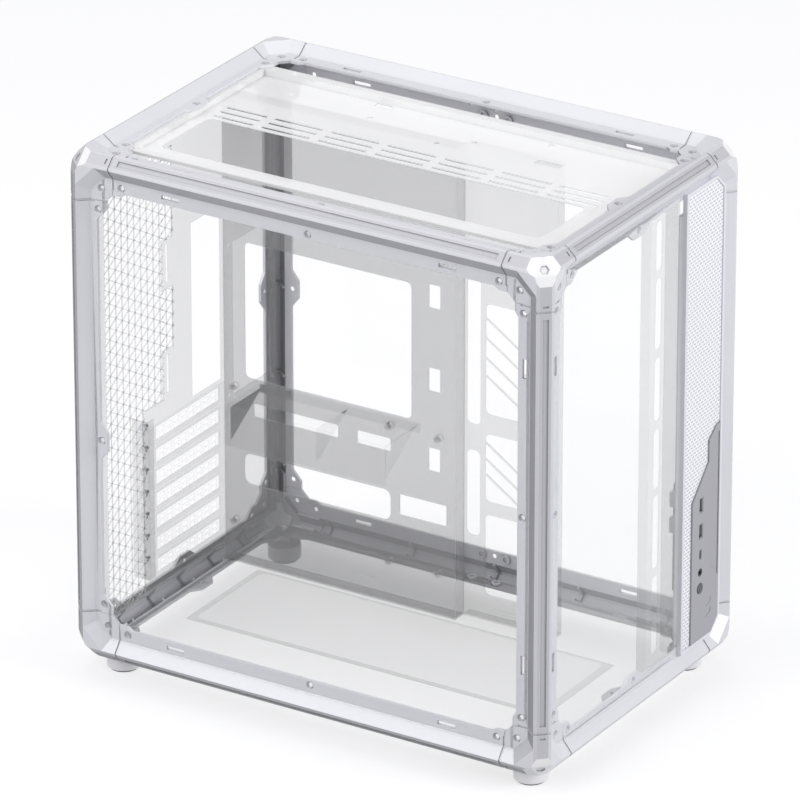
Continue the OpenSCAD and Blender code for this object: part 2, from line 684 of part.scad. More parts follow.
// sheet beside the tray with two framed and braced windows
module side_bracket() {
  x1 = case_l - 120;
  x0 = x1 - bracket_w - 10;
  y = fold_y - sheet;
  run = (bracket_w + 4) / cos(34);
  steel() in_case() {
    difference() {
      box([tray_x1, y, floor_z + sheet], [x1, fold_y, pan_z]);
      for (v = [[190, 132], [88, 78]]) translate([tray_x1 + 3, fold_y - sheet / 2, v[0]])
        rotate([90, 0, 0]) round_hole(13, v[1], 5, 6);
      for (v = [[202, 100], [122, 62], [36, 74]]) translate([x0, fold_y - sheet / 2, v[0]])
        rotate([90, 0, 0]) round_hole(bracket_w, v[1], 5, 6);
    }
    for (v = [[290, 1], [272, 1], [254, 1], [238, 0.9], [177, 1], [162, 1], [148, 0.66]])
      translate([x0 - 3, y, v[0]]) rotate([0, 34, 0]) cube([run * v[1], sheet, 1.6]);
    box([x1 - sheet, y, floor_z + sheet], [x1, y + 10, pan_z]);
    box([tray_x1, y, floor_z + sheet], [x1, y + 10, floor_z + 2 * sheet]);
    box([tray_x1, y, pan_z - sheet], [x1, y + 10, pan_z]);
  }
}
// open cradle for the power supply at the rear of the far chamber
module power_supply_cradle() {
  y0 = tray_y + sheet;
  z1 = 155;
  steel() in_case() {
    box([rear_in, y0, z1 - sheet], [180, y0 + 56, z1]);
    box([rear_in, y0 + 55, z1 - 9], [180, y0 + 56, z1]);
    box([rear_in, y0, z1 - 37], [180, y0 + sheet, z1]);
    for (x = [24, 110, 178]) translate([x, 0, 0]) rotate([90, 0, 90]) linear_extrude(1)
      polygon([[y0, z1 - 0.5], [y0 + 52, z1 - 0.5], [y0, z1 - 33]]);
  }
}

// upright fan bracket behind the front opening
module fan_column() {
  y0 = vent_y0 - 47;
  y1 = vent_y0 - 0.4;
  x = front_x - sheet;
  steel() in_case() difference() {
    union() {
      box([x, y0, 22], [x + sheet, y1, frame_h - 22]);
      box([x - 12, y1 - sheet, 22], [x + sheet, y1, frame_h - 22]);
      box([x - 8, y0, 22], [x + sheet, y0 + sheet, frame_h - 22]);
    }
    for (v = [[36, 71], [114, 66], [186, 54], [247, 57], [311, 63], [381, 44]])
      translate([x, y0 + 9, v[0] * frame_h / 458]) rotate([90, 0, 90]) round_hole(10, v[1] * frame_h / 458, 4.9, 6);
  }
}

// outline of the front vent, moved in by e
function front_outline(e) = [[vent_y0 + e, glass_inset + e], [vent_y1 - 14, glass_inset + e],
  [vent_y1 - e, glass_inset + 14], [vent_y1 - e, frame_h - glass_inset - 14],
  [vent_y1 - 14, frame_h - glass_inset - e], [vent_y0 + e, frame_h - glass_inset - e]];
// outline of a slanted light bar at height z, moved in by e
function bar_outline(z, e) = [[plate_y - 3.4 + e, z - 3.6 + e], [plate_y + 5 - e, z - 0.6 + e],
  [plate_y + 5 - e, z + 3.6 - e], [plate_y - 3.4 + e, z + 0.6 - e]];
module front_slab(x0, x1, pts) {
  translate([x0, 0, 0]) rotate([90, 0, 90]) linear_extrude(x1 - x0) polygon(pts);
}

// box frame of the front vent, stepped behind the rail flanges
module front_vent_box() {
  xf = case_l - flange_deep;
  x1 = xf + glass_t;
  x0 = x1 - vent_deep;
  steel() in_case() difference() {
    union() {
      front_slab(xf, x1, front_outline(0));
      box([x0, vent_y0, vent_z0], [xf + 0.5, vent_y1 - 15, frame_h - vent_z0]);
    }
    front_slab(xf + 1, x1 - 1, front_outline(1.6));
    box([x0 - 1, vent_y0 + 1.6, vent_z0 + 1.6], [xf + 2, vent_y1 - 16.6, frame_h - vent_z0 - 1.6]);
    front_slab(x1 - 2, x1 + 1, front_outline(3));
  }
}
// fine pierced sheet, cut back where the port plate sits
module front_vent_mesh() {
  e = glass_inset + 1.9;
  y0 = vent_y0 + 1.9;
  y1 = vent_y1 - 1.9;
  yp = plate_y;
  z1 = frame_h - e;
  color([0.88, 0.88, 0.93]) in_case() front_slab(plate_x, plate_x + 0.8,
    [[y0, e], [yp - 27.2, e], [yp - 27.2, 154.6], [yp - 0.8, 182.6], [yp - 0.8, 202.2], [yp + 12.5, 212.5],
      [y1, 212.5], [y1, z1 - 12.1], [y1 - 12.1, z1], [y0, z1]]);
}
module port_plate() {
  x1 = plate_x + 2.2;
  yp = plate_y;
  color([0.62, 0.62, 0.65]) in_case() difference() {
    front_slab(plate_x, x1, [[yp - 26.8, glass_inset + 3.3], [vent_y1 - 14.2, glass_inset + 3.3],
      [vent_y1 - 3.3, glass_inset + 14.2], [vent_y1 - 3.3, 212.1], [yp + 12.7, 212.1], [yp - 0.4, 201.9],
      [yp - 0.4, 182.4], [yp - 26.8, 154.3]]);
    for (z = port_z) box([plate_x - 1, port_y - 3.5, z - 7.1], [x1 + 1, port_y + 3.5, z + 7.1]);
    pill_x(plate_x - 1, x1 + 1, port_y, 103, 9.7, 3.9);
    bore_x(plate_x, port_y, 86.6, 7.1, 8);
    bore_x(plate_x, port_y, button_z, button_d + 0.7, 8);
    for (z = bar_z) front_slab(plate_x - 1, x1 + 1, bar_outline(z, 0));
    front_slab(x1 - 0.5, x1 + 1, [[yp + 3.4, 87], [yp + 16.1, 74], [yp + 16.1, 205], [yp + 11, 205], [yp + 3.4, 196]]);
  }
}
// board behind the port plate with the switch of the button
module port_board() {
  color([0.30, 0.42, 0.34]) in_case() {
    box([plate_x - 26.2, port_y + 3.2, 62], [plate_x - 4, port_y + 4.8, 160]);
    box([plate_x - 11.2, port_y - 3, button_z - 3], [plate_x - 3.6, port_y + 3.2, button_z + 3]);
  }
}
module usb_a(z) {
  color([0.75, 0.76, 0.78]) in_case() {
    difference() {
      box([plate_x - 26.2, port_y - 3.2, z - 6.8], [plate_x + 2, port_y + 3.2, z + 6.8]);
      box([plate_x - 10.2, port_y - 2.5, z - 6.1], [plate_x + 3, port_y + 2.5, z + 6.1]);
    }
    box([plate_x - 11.2, port_y + 0.3, z - 5.4], [plate_x, port_y + 1.9, z + 5.4]);
  }
}
module usb_a_port_upper() { usb_a(port_z[0]); }
module usb_a_port_lower() { usb_a(port_z[1]); }
module usb_c_port() {
  color([0.75, 0.76, 0.78]) in_case() {
    difference() {
      union() {
        pill_x(plate_x - 10.2, plate_x + 2, port_y, 103, 9.1, 3.3);
        box([plate_x - 18.2, port_y - 2, 98], [plate_x - 9.2, port_y + 3.2, 108]);
      }
      pill_x(plate_x - 6.2, plate_x + 3, port_y, 103, 8.3, 2.5);
    }
    box([plate_x - 6.7, port_y - 0.35, 100], [plate_x + 1, port_y + 0.35, 106]);
  }
}
module audio_jack() {
  color([0.2, 0.2, 0.22]) in_case() difference() {
    union() {
      translate([plate_x - 10.2, port_y, 86.6]) rotate([0, 90, 0]) cylinder(d = 6.4, h = 12.2, $fn = 32);
      box([plate_x - 18.2, port_y - 3.2, 82.6], [plate_x - 4.2, port_y + 3.2, 90.6]);
    }
    translate([plate_x - 12.2, port_y, 86.6]) rotate([0, 90, 0]) cylinder(d = 3.6, h = 20, $fn = 24);
  }
}
// button cap with its collar, free to slide inwards
module power_button() {
  r = button_d / 2;
  color([0.66, 0.66, 0.70]) in_case() translate([plate_x, port_y, button_z]) rotate([0, 90, 0])
    rotate_extrude($fn = 48) polygon([[0, -1.9], [r + 0.8, -1.9], [r + 0.8, -0.5], [r, -0.5],
      [r, 2.4], [r - 0.4, 2.8], [0, 2.8]]);
}
module light_bars() {
  color([0.9, 0.9, 0.95]) in_case() {
    front_slab(plate_x - 1.2, plate_x, [[plate_y - 5.3, 40], [plate_y + 6.9, 40], [plate_y + 6.9, 60],
      [plate_y - 5.3, 60]]);
    for (z = bar_z) front_slab(plate_x - 0.5, plate_x + 2, bar_outline(z, 0.3));
  }
}

corner_rear_near_bottom();
corner_rear_near_top();
corner_rear_far_bottom();
corner_rear_far_top();
corner_front_near_bottom();
corner_front_near_top();
corner_front_far_bottom();
corner_front_far_top();
rail_near_bottom();
rail_near_top();
rail_far_bottom();
rail_far_top();
rail_rear_bottom();
rail_rear_top();
rail_front_bottom();
rail_front_top();
upright_rear_near();
upright_rear_far();
upright_front_near();
upright_front_far();
feet();
foot_pads();
near_glass();
far_glass();
front_glass();
top_bracket();
bottom_panel();
dust_filter();
rear_panel();
rear_vent_mesh();
slot_ledge();
slot_cover_1();
slot_cover_2();
slot_cover_3();
slot_cover_4();
slot_cover_5();
slot_cover_6();
slot_cover_7();
slot_screws();
board_tray();
standoffs();
side_bracket();
power_supply_cradle();
fan_column();
front_vent_box();
front_vent_mesh();
port_plate();
port_board();
usb_a_port_upper();
usb_a_port_lower();
usb_c_port();
audio_jack();
power_button();
light_bars();
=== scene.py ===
import math

import bpy
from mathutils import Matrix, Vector


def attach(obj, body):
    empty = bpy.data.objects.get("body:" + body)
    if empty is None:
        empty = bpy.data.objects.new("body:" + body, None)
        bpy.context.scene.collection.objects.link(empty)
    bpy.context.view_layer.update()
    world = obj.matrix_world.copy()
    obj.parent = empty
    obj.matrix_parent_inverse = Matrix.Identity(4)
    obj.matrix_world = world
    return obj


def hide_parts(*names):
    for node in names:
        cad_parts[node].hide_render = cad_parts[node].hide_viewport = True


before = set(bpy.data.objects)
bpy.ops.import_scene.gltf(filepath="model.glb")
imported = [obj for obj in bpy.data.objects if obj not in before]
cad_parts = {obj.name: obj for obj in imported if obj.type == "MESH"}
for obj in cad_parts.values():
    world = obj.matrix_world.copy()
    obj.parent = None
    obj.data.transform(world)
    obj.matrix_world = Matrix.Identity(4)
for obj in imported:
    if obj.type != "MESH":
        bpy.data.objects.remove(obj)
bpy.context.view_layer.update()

bpy.ops.object.select_all(action="DESELECT")

# The photograph's view: a long lens some seven metres off the front corner and well
# above the top of the case, looking down on the near glass side and the front. Place
# and aim come from the edges of the frame in the picture.
view_place = (3.2756, -5.2867, 3.0356)
view_aim = Vector((-0.48096, 0.77524, -0.40951))
camera_data = bpy.data.cameras.new("photo_camera")
camera_data.lens = 370.9
camera_data.sensor_width = 36
camera_data.clip_end = 60
camera = bpy.data.objects.new("photo_camera", camera_data)
camera.location = view_place
camera.rotation_euler = view_aim.to_track_quat("-Z", "Y").to_euler()
bpy.context.scene.collection.objects.link(camera)
bpy.context.scene.camera = camera

# The floor: a wide white sheet that takes the soft shadow of the case. Part of its
# white is its own for the camera, so that it runs into the white behind it.
floor_width = 14
floor_paper = (0.40, 0.40, 0.41, 1)
floor_glow = 0.64


def arithmetic(tree, kind, first, second):
    """one arithmetic node fed by two sockets or numbers"""
    node = tree.nodes.new("ShaderNodeMath")
    node.operation = kind
    for slot, value in zip(node.inputs, (first, second)):
        if isinstance(value, (int, float)):
            slot.default_value = value
        else:
            tree.links.new(value, slot)
    return node.outputs[0]


bpy.ops.mesh.primitive_grid_add(x_subdivisions=8, y_subdivisions=8, size=floor_width)
floor = bpy.context.object
floor.name = "studio_floor"
white_floor = bpy.data.materials.new("white_floor")
white_floor.use_nodes = True
tree = white_floor.node_tree
tree.nodes.clear()
out = tree.nodes.new("ShaderNodeOutputMaterial")
paper = tree.nodes.new("ShaderNodeBsdfDiffuse")
paper.inputs["Color"].default_value = floor_paper
glow = tree.nodes.new("ShaderNodeEmission")
both = tree.nodes.new("ShaderNodeAddShader")
seen = tree.nodes.new("ShaderNodeLightPath").outputs
white_for = arithmetic(tree, "MAXIMUM", seen["Is Camera Ray"], seen["Is Glossy Ray"])
white_for = arithmetic(tree, "MAXIMUM", white_for, seen["Is Transmission Ray"])
level = arithmetic(tree, "MULTIPLY", white_for, floor_glow)
tree.links.new(level, glow.inputs["Strength"])
tree.links.new(paper.outputs[0], both.inputs[0])
tree.links.new(glow.outputs[0], both.inputs[1])
tree.links.new(both.outputs[0], out.inputs["Surface"])
floor.data.materials.append(white_floor)

# The studio: an even pale dome all round, pure white where the camera looks at it,
# straight or through the glass, and three large soft lamps: one overhead, one on the
# near side to the rear and one in front.
dome_tint = (0.97, 0.97, 1.0, 1)
dome_strength = 0.5

world = bpy.data.worlds.new("pale_studio")
world.use_nodes = True
bpy.context.scene.world = world
tree = world.node_tree
tree.nodes.clear()
out = tree.nodes.new("ShaderNodeOutputWorld")
dome = tree.nodes.new("ShaderNodeBackground")
dome.inputs["Color"].default_value = dome_tint
dome.inputs["Strength"].default_value = dome_strength
backdrop = tree.nodes.new("ShaderNodeBackground")
backdrop.inputs["Color"].default_value = (1, 1, 1, 1)
swap = tree.nodes.new("ShaderNodeMixShader")
seen = tree.nodes.new("ShaderNodeLightPath").outputs
white_for = arithmetic(tree, "MAXIMUM", seen["Is Camera Ray"], seen["Is Transmission Ray"])
tree.links.new(white_for, swap.inputs["Fac"])
tree.links.new(dome.outputs[0], swap.inputs[1])
tree.links.new(backdrop.outputs[0], swap.inputs[2])
tree.links.new(swap.outputs[0], out.inputs["Surface"])


def soft_lamp(name, place, target, width, power):
    """a square lamp that looks at a target; width in metres, power in watts"""
    lamp_data = bpy.data.lights.new(name, "AREA")
    lamp_data.size = width
    lamp_data.energy = power
    lamp = bpy.data.objects.new(name, lamp_data)
    lamp.location = place
    lamp.rotation_euler = (Vector(target) - Vector(place)).to_track_quat("-Z", "Y").to_euler()
    bpy.context.scene.collection.objects.link(lamp)


soft_lamp("lamp_over", place=(-0.6, 0.3, 3.0), target=(0, 0, 0.2), width=1.8, power=14)
soft_lamp("lamp_near", place=(-1.0, -2.1, 2.0), target=(0, 0, 0.25), width=2.2, power=40)
soft_lamp("lamp_front", place=(3.4, 0.6, 1.5), target=(0.2, 0, 0.2), width=1.4, power=66)
bpy.context.scene.view_settings.view_transform = "Standard"

# Cast corners and rails: thin aluminium castings, tumbled and lacquered silver with a
# faint lilac cast. Painted shade darkens the sloped outer facets, most of all those that
# lean down or to the rear, painted highlights brighten the chamfers and whiten the edges,
# and painted shade darkens the seams and grooves.
silver = (0.76, 0.76, 0.80)
# largest component of a face's direction from which each tone holds, and the tone; the tones are painted
# light and shade: a painted highlight on caps, chamfers and bevels, painted shade on the sloped and narrow
# facets
silver_tones = (
    (0.0, 1.30),  # caps and chamfers
    (0.695, 0.76),  # sloped facets at 45 degrees
    (0.73, 1.04),  # bevels between facet and flange
    (0.87, 0.90),  # narrow facets
    (0.96, 1.0),  # straight faces
)
straight_from = 0.96
shade_way = (-2.0, 0, -1.0)
shade_loss = 0.58


def remap(tree, value, source=(0, 1), target=(0, 1)):
    """a value stretched from one range to another, and held at its ends"""
    node = tree.nodes.new("ShaderNodeMapRange")
    for label, number in zip(("From Min", "From Max", "To Min", "To Max"), (*source, *target)):
        node.inputs[label].default_value = number
    tree.links.new(value, node.inputs["Value"])
    return node.outputs["Result"]


def scaled(tree, colour, by):
    """a colour times one number"""
    node = tree.nodes.new("ShaderNodeVectorMath")
    node.operation = "SCALE"
    tree.links.new(colour, node.inputs[0])
    tree.links.new(by, node.inputs["Scale"])
    return node.outputs["Vector"]


def build_grain_and_painted_light():
    """group that makes colour, roughness and normal of a coated or brushed surface, with painted shade in
    its crevices and painted highlights on its edges
    """
    tree = bpy.data.node_groups.new("grain_and_painted_light", "ShaderNodeTree")
    for label, kind, value in (("Colour", "NodeSocketColor", (0.8, 0.8, 0.8, 1)),
                               ("Edge Colour", "NodeSocketColor", (1, 1, 1, 1)),
                               ("Edge Width", "NodeSocketFloat", 0.0005),
                               ("Edge Highlight Amount", "NodeSocketFloat", 0.5),
                               ("Painted Crevice Shade Depth", "NodeSocketFloat", 0.5),
                               ("Grain Scale", "NodeSocketFloat", 900.0),
                               ("Grain Depth", "NodeSocketFloat", 0.00005),
                               ("Roughness", "NodeSocketFloat", 0.4)):
        tree.interface.new_socket(name=label, in_out="INPUT", socket_type=kind).default_value = value
    for label, kind in (("Colour", "NodeSocketColor"), ("Roughness", "NodeSocketFloat"),
                        ("Normal", "NodeSocketVector"), ("Edge", "NodeSocketFloat")):
        tree.interface.new_socket(name=label, in_out="OUTPUT", socket_type=kind)
    nodes, links = tree.nodes, tree.links
    given = nodes.new("NodeGroupInput").outputs
    result = nodes.new("NodeGroupOutput").inputs
    place = nodes.new("ShaderNodeTexCoord")
    speck = nodes.new("ShaderNodeTexNoise")
    speck.inputs["Detail"].default_value = 4
    drift = nodes.new("ShaderNodeTexNoise")
    drift.inputs["Scale"].default_value = 9
    drift.inputs["Detail"].default_value = 2
    links.new(place.outputs["Object"], speck.inputs["Vector"])
    links.new(place.outputs["Object"], drift.inputs["Vector"])
    links.new(given["Grain Scale"], speck.inputs["Scale"])
    # rounded normal along the edges, and how far it leaves the flat face: the mask of the painted highlight
    soften = nodes.new("ShaderNodeBevel")
    soften.samples = 3
    links.new(given["Edge Width"], soften.inputs["Radius"])
    true_face = nodes.new("ShaderNodeNewGeometry")
    turn = nodes.new("ShaderNodeVectorMath")
    turn.operation = "DOT_PRODUCT"
    links.new(soften.outputs["Normal"], turn.inputs[0])
    links.new(true_face.outputs["Normal"], turn.inputs[1])
    edge = remap(tree, turn.outputs["Value"], source=(0.995, 0.93))
    # open faces against the bottoms of grooves and seams, which take painted shade
    painted_crevice_shade = nodes.new("ShaderNodeAmbientOcclusion")
    painted_crevice_shade.samples = 3
    painted_crevice_shade.only_local = True
    painted_crevice_shade.inputs["Distance"].default_value = 0.0035
    open_air = remap(tree, painted_crevice_shade.outputs["AO"], source=(0.25, 0.85))
    edge_highlight_amount = arithmetic(tree, "MULTIPLY", edge, given["Edge Highlight Amount"])
    edge_highlight_amount = arithmetic(tree, "MULTIPLY", edge_highlight_amount, open_air)
    # colour: slow drift, then painted shade in the crevices, then painted highlights on the edges
    paler = remap(tree, drift.outputs["Fac"], target=(0.96, 1.03))
    painted_shade = arithmetic(tree, "SUBTRACT", 1, open_air)
    painted_shade = arithmetic(tree, "MULTIPLY", painted_shade, given["Painted Crevice Shade Depth"])
    painted_shade = arithmetic(tree, "SUBTRACT", 1, painted_shade)
    tone = nodes.new("ShaderNodeMix")
    tone.data_type = "RGBA"
    links.new(edge_highlight_amount, tone.inputs["Factor"])
    links.new(scaled(tree, given["Colour"], arithmetic(tree, "MULTIPLY", painted_shade, paler)), tone.inputs["A"])
    links.new(given["Edge Colour"], tone.inputs["B"])
    links.new(tone.outputs["Result"], result["Colour"])
    links.new(edge_highlight_amount, result["Edge"])
    # roughness a little to either side of the given one, and the grain
    uneven = remap(tree, drift.outputs["Fac"], target=(-0.05, 0.05))
    links.new(arithmetic(tree, "ADD", uneven, given["Roughness"]), result["Roughness"])
    bump = nodes.new("ShaderNodeBump")
    bump.inputs["Strength"].default_value = 0.35
    links.new(given["Grain Depth"], bump.inputs["Distance"])
    links.new(speck.outputs["Fac"], bump.inputs["Height"])
    links.new(soften.outputs["Normal"], bump.inputs["Normal"])
    links.new(bump.outputs["Normal"], result["Normal"])
    return tree


grain_and_painted_light = build_grain_and_painted_light()


def finish(name, colour, rough, grain, depth, metallic=0.0, width=0.0004, edge_highlight_amount=0.3, painted_crevice_shade=0.4,
           edge=(0.97, 0.97, 0.99)):
    """a material of one colour with its grain, painted highlights on its edges and painted shade in its
    crevices
    """
    made = bpy.data.materials.new(name)
    made.use_nodes = True
    nodes, links = made.node_tree.nodes, made.node_tree.links
    shade = nodes["Principled BSDF"]
    shade.inputs["Metallic"].default_value = metallic
    grain_and_light = nodes.new("ShaderNodeGroup")
    grain_and_light.node_tree = grain_and_painted_light
    grain_and_light.name = "Grain and Painted Light"
    grain_and_light.inputs["Colour"].default_value = (*colour, 1)
    grain_and_light.inputs["Edge Colour"].default_value = (*edge, 1)
    grain_and_light.inputs["Edge Width"].default_value = width
    grain_and_light.inputs["Edge Highlight Amount"].default_value = edge_highlight_amount
    grain_and_light.inputs["Painted Crevice Shade Depth"].default_value = painted_crevice_shade
    grain_and_light.inputs["Grain Scale"].default_value = grain
    grain_and_light.inputs["Grain Depth"].default_value = depth
    grain_and_light.inputs["Roughness"].default_value = rough
    links.new(grain_and_light.outputs["Colour"], shade.inputs["Base Color"])
    links.new(grain_and_light.outputs["Roughness"], shade.inputs["Roughness"])
    links.new(grain_and_light.outputs["Normal"], shade.inputs["Normal"])
    return made


def dress(name, material):
    """gives a node of the model its one material"""
    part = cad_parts[name]
    part.data.materials.clear()
    part.data.materials.append(material)


def facet_tones(material, colour, steps):
    """paints light and shade into each face by how far it leans from the straight directions: facet, bevel
    or flat
    """
    tree = material.node_tree
    facing = tree.nodes.new("ShaderNodeTexCoord").outputs["Normal"]
    size = tree.nodes.new("ShaderNodeVectorMath")
    size.operation = "ABSOLUTE"
    split = tree.nodes.new("ShaderNodeSeparateXYZ")
    tree.links.new(facing, size.inputs[0])
    tree.links.new(size.outputs["Vector"], split.inputs[0])
    lean = arithmetic(tree, "MAXIMUM", split.outputs["X"], split.outputs["Y"])
    lean = arithmetic(tree, "MAXIMUM", lean, split.outputs["Z"])
    ramp = tree.nodes.new("ShaderNodeValToRGB")
    ramp.color_ramp.interpolation = "CONSTANT"
    stops = ramp.color_ramp.elements
    while len(stops) < len(steps):
        stops.new(0.5)
    for stop, (lean_from, tone) in zip(stops, steps):
        stop.position = lean_from
        stop.color = (*[min(1, part * tone) for part in colour], 1)
    tree.links.new(lean, ramp.inputs["Fac"])
    # painted shade: sloped faces that look down or to the rear are darker, straight faces are not
    aim = tree.nodes.new("ShaderNodeVectorMath")
    aim.operation = "DOT_PRODUCT"
    aim.inputs[1].default_value = shade_way
    tree.links.new(facing, aim.inputs[0])
    sloped = arithmetic(tree, "LESS_THAN", lean, straight_from)
    away = arithmetic(tree, "MULTIPLY", aim.outputs["Value"], sloped)
    lit = remap(tree, away, target=(1, 1 - shade_loss))
    tree.links.new(scaled(tree, ramp.outputs["Color"], lit), tree.nodes["Grain and Painted Light"].inputs["Colour"])


silver_cast = finish("silver_cast", silver, rough=0.46, grain=900, depth=0.00005, metallic=0.2,
                     width=0.0006, edge_highlight_amount=0.85, painted_crevice_shade=0.65)
facet_tones(silver_cast, silver, silver_tones)
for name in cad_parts:
    if name.startswith(("corner_", "rail_", "upright_")):
        dress(name, silver_cast)

# Feet: turned from aluminium bar and left bright, so fine rings run round them. Each
# stands on a disc of dark rubber glued into its sole.
turned_bright = finish("turned_bright", (0.95, 0.95, 0.97), rough=0.3, grain=60, depth=0.00002,
                       metallic=0.15, width=0.0006, edge_highlight_amount=0.6)
tree = turned_bright.node_tree
rings = tree.nodes.new("ShaderNodeTexWave")
rings.bands_direction = "Z"
rings.inputs["Scale"].default_value = 900
rings.inputs["Distortion"].default_value = 0.4
place = tree.nodes.new("ShaderNodeTexCoord")
turned = tree.nodes.new("ShaderNodeBump")
turned.inputs["Strength"].default_value = 0.3
turned.inputs["Distance"].default_value = 0.00003
tree.links.new(place.outputs["Object"], rings.inputs["Vector"])
tree.links.new(rings.outputs["Fac"], turned.inputs["Height"])
tree.links.new(tree.nodes["Grain and Painted Light"].outputs["Normal"], turned.inputs["Normal"])
tree.links.new(turned.outputs["Normal"], tree.nodes["Principled BSDF"].inputs["Normal"])
dress("feet", turned_bright)
dress("foot_pads", finish("sole_rubber", (0.06, 0.06, 0.065), rough=0.7, grain=1500, depth=0.0001,
                          edge=(0.2, 0.2, 0.2)))

# Glass: three panes of clear toughened glass, held in the rebate of the frame. Almost
# nothing shows of them but a faint sheen at a low angle.


def smeared_glass(name, tint):
    """clear glass whose gloss is a little uneven, as if wiped by hand"""
    made = bpy.data.materials.new(name)
    made.use_nodes = True
    tree = made.node_tree
    shade = tree.nodes["Principled BSDF"]
    shade.inputs["Base Color"].default_value = tint
    place = tree.nodes.new("ShaderNodeTexCoord")
    smear = tree.nodes.new("ShaderNodeTexNoise")
    smear.inputs["Scale"].default_value = 7
    tree.links.new(place.outputs["Object"], smear.inputs["Vector"])
    tree.links.new(remap(tree, smear.outputs["Fac"], target=(0.03, 0.08)), shade.inputs["Roughness"])
    return made


clear_pane = smeared_glass("clear_pane", (0.95, 0.98, 0.98, 1))
tree = clear_pane.node_tree
facing = tree.nodes.new("ShaderNodeLayerWeight")
facing.inputs["Blend"].default_value = 0.25
veil = remap(tree, facing.outputs["Fresnel"], target=(0.012, 0.16))
tree.links.new(veil, tree.nodes["Principled BSDF"].inputs["Alpha"])
for name in ("near_glass", "front_glass"):
    dress(name, clear_pane)
# the far pane stands behind all the see-through sheets and is plain glass, not one
# more see-through layer behind them
far_pane = smeared_glass("far_pane", (1, 1, 1, 1))
shade = far_pane.node_tree.nodes["Principled BSDF"]
shade.inputs["Transmission Weight"].default_value = 1
shade.inputs["IOR"].default_value = 1.2
dress("far_glass", far_pane)

# Sheet walls: one millimetre sheet, punched and folded, in a see-through finish with a
# pale grey tint, so that the frame shows through it as in the picture. A fine orange
# peel lies on it, a painted highlight makes its folded and cut edges white and denser,
# and a little painted shade lies in its crevices.


def misty_sheet(name, colour, body, rim):
    """see-through tinted sheet: body and rim say how dense its faces and its edges are"""
    made = finish(name, colour, rough=0.5, grain=700, depth=0.00005, width=0.0005, edge_highlight_amount=1.0, painted_crevice_shade=0.15)
    tree = made.node_tree
    dense = remap(tree, tree.nodes["Grain and Painted Light"].outputs["Edge"], target=(body, rim))
    tree.links.new(dense, tree.nodes["Principled BSDF"].inputs["Alpha"])
    return made


misty_wall = misty_sheet("misty_wall", (0.50, 0.50, 0.51), body=0.17, rim=0.5)
for name in ("rear_panel", "slot_ledge", "side_bracket", "fan_column"):
    dress(name, misty_wall)
misty_tray = misty_sheet("misty_tray", (0.45, 0.45, 0.46), body=0.32, rim=0.7)
dress("board_tray", misty_tray)
misty_faint = misty_sheet("misty_faint", (0.85, 0.85, 0.86), body=0.07, rim=0.35)
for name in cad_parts:
    if name.startswith("slot_cover") or name in ("power_supply_cradle", "bottom_panel"):
        dress(name, misty_faint)

# Top bracket: a tray pressed from the same sheet, with a folded rim and rows of slots for
# fans or a radiator. Its finish is milky and nearly white with a faint painted glow, so that the slots show.
misty_top = misty_sheet("misty_top", (0.95, 0.95, 0.95), body=0.6, rim=0.9)
# painted light: the sheet glows faintly though it is no lamp
shade = misty_top.node_tree.nodes["Principled BSDF"]
shade.inputs["Emission Color"].default_value = (1, 1, 1, 1)
shade.inputs["Emission Strength"].default_value = 0.08
dress("top_bracket", misty_top)

# Front vent box: pressed sheet like the walls, but solid in the picture and lacquered
# in the silver of the frame.
vent_frame = finish("vent_frame", (0.80, 0.80, 0.85), rough=0.4, grain=800, depth=0.00005, metallic=0.2)
dress("front_vent_box", vent_frame)

# Small fittings: standoffs see-through like the tray that holds them, zinc plated
# screws, pressed steel sockets, a black headphone socket and the green board that
# carries the sockets.
misty_standoff = misty_sheet("misty_standoff", (0.6, 0.6, 0.6), body=0.3, rim=0.8)
dress("standoffs", misty_standoff)
zinc_screw = finish("zinc_screw", (0.70, 0.71, 0.74), rough=0.28, grain=1200, depth=0.00003, metallic=0.6)
dress("slot_screws", zinc_screw)
socket_steel = finish("socket_steel", (0.50, 0.51, 0.53), rough=0.35, grain=1500, depth=0.00002,
                      metallic=0.5, width=0.0002)
for name in ("usb_a_port_upper", "usb_a_port_lower", "usb_c_port"):
    dress(name, socket_steel)
socket_black = finish("socket_black", (0.02, 0.02, 0.022), rough=0.4, grain=1500, depth=0.00003, edge_highlight_amount=0.05)
dress("audio_jack", socket_black)
board_green = finish("board_green", (0.03, 0.13, 0.07), rough=0.4, grain=1800, depth=0.00004, edge_highlight_amount=0.05)
dress("port_board", board_green)

# Port plate: cast and painted in a darker grey than the frame, with heavy painted shade in
# its recesses and painted highlights on its edges, a button in dark satin aluminium and
# two grey bars that light up.
pale_rim = (0.62, 0.62, 0.66)
grey_plate = finish("grey_plate", (0.40, 0.40, 0.43), rough=0.42, grain=1100, depth=0.00006, metallic=0.2,
                    width=0.0003, edge_highlight_amount=0.25, painted_crevice_shade=0.9, edge=pale_rim)
dress("port_plate", grey_plate)
button_satin = finish("button_satin", (0.10, 0.10, 0.11), rough=0.34, grain=1400, depth=0.00003,
                      metallic=0.4, width=0.0003, edge_highlight_amount=0.2, edge=(0.5, 0.5, 0.52))
dress("power_button", button_satin)
light_bar = finish("light_bar", (0.42, 0.42, 0.45), rough=0.25, grain=900, depth=0.00003, metallic=0.1,
                   width=0.0002, edge_highlight_amount=0.5, edge=pale_rim)
dress("light_bars", light_bar)

# Front mesh: thin sheet punched with level rows of short slots, each row set off by half
# a slot, and coated white with a lilac tinge. The slots are too fine to cut, so they lie
# in the finish.
slot_row = 0.0030
slot_pitch = 0.0052
upright_plane = (0, math.radians(90), math.radians(90))


